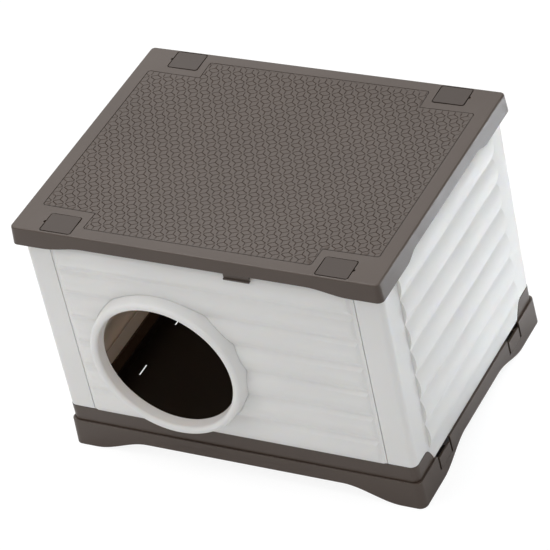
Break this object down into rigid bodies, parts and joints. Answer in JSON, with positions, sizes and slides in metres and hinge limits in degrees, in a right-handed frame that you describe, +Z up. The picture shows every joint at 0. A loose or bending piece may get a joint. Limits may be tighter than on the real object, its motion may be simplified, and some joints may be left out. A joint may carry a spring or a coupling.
{
  "type": "pet house",
  "caption": "Flat-roofed plastic house for a small pet: white boarded walls, a round ringed entrance, a dark base on arched feet and a lift-off roof with plug caps.",
  "frame": {"origin": "on the ground, under the middle of the overall outline, entrance ring and roof included", "axes": "+X to the right seen from the front, -Y to the front where the entrance is, +Z up"},
  "size_m": [0.5, 0.3956, 0.357],
  "materials": {
    "white_plastic": "satin",
    "brown_plastic": "satin",
    "black_plastic": "satin"
  },
  "bodies": {
    "house": {"base_frame": "brown_plastic", "floor_panel": "black_plastic", "front_wall": "white_plastic", "rear_wall": "white_plastic", "left_wall": "white_plastic", "right_wall": "white_plastic", "entrance_ring": "white_plastic"},
    "roof": {"roof": "brown_plastic", "lift_tab": "brown_plastic"},
    "front_left_cap": {"front_left_cap": "brown_plastic"},
    "front_right_cap": {"front_right_cap": "brown_plastic"},
    "rear_left_cap": {"rear_left_cap": "brown_plastic"},
    "rear_right_cap": {"rear_right_cap": "brown_plastic"},
    "front_left_clip": {"front_left_clip": "brown_plastic"},
    "front_right_clip": {"front_right_clip": "brown_plastic"},
    "rear_left_clip": {"rear_left_clip": "brown_plastic"},
    "rear_right_clip": {"rear_right_clip": "brown_plastic"}
  },
  "joints": [
    {"name": "roof_lift", "type": "slide", "parent": "house", "child": "roof", "axis": [0, 0, 1], "range_m": [0, 0.08]},
    {"name": "front_left_cap_pull", "type": "slide", "parent": "roof", "child": "front_left_cap", "axis": [0, 0, 1], "range_m": [0, 0.02]},
    {"name": "front_right_cap_pull", "type": "slide", "parent": "roof", "child": "front_right_cap", "axis": [0, 0, 1], "range_m": [0, 0.02]},
    {"name": "rear_left_cap_pull", "type": "slide", "parent": "roof", "child": "rear_left_cap", "axis": [0, 0, 1], "range_m": [0, 0.02]},
    {"name": "rear_right_cap_pull", "type": "slide", "parent": "roof", "child": "rear_right_cap", "axis": [0, 0, 1], "range_m": [0, 0.02]},
    {"name": "front_left_clip_bend", "type": "hinge", "parent": "house", "child": "front_left_clip", "pos_m": [-0.24474, -0.10625, 0.0165], "axis": [0, -1, 0], "range_deg": [0, 8], "stiffness_Nm_per_rad": 0.4},
    {"name": "front_right_clip_bend", "type": "hinge", "parent": "house", "child": "front_right_clip", "pos_m": [0.24474, -0.10625, 0.0165], "axis": [0, 1, 0], "range_deg": [0, 8], "stiffness_Nm_per_rad": 0.4},
    {"name": "rear_left_clip_bend", "type": "hinge", "parent": "house", "child": "rear_left_clip", "pos_m": [-0.24474, 0.11575, 0.0165], "axis": [0, -1, 0], "range_deg": [0, 8], "stiffness_Nm_per_rad": 0.4},
    {"name": "rear_right_clip_bend", "type": "hinge", "parent": "house", "child": "rear_right_clip", "pos_m": [0.24474, 0.11575, 0.0165], "axis": [0, 1, 0], "range_deg": [0, 8], "stiffness_Nm_per_rad": 0.4}
  ]
}
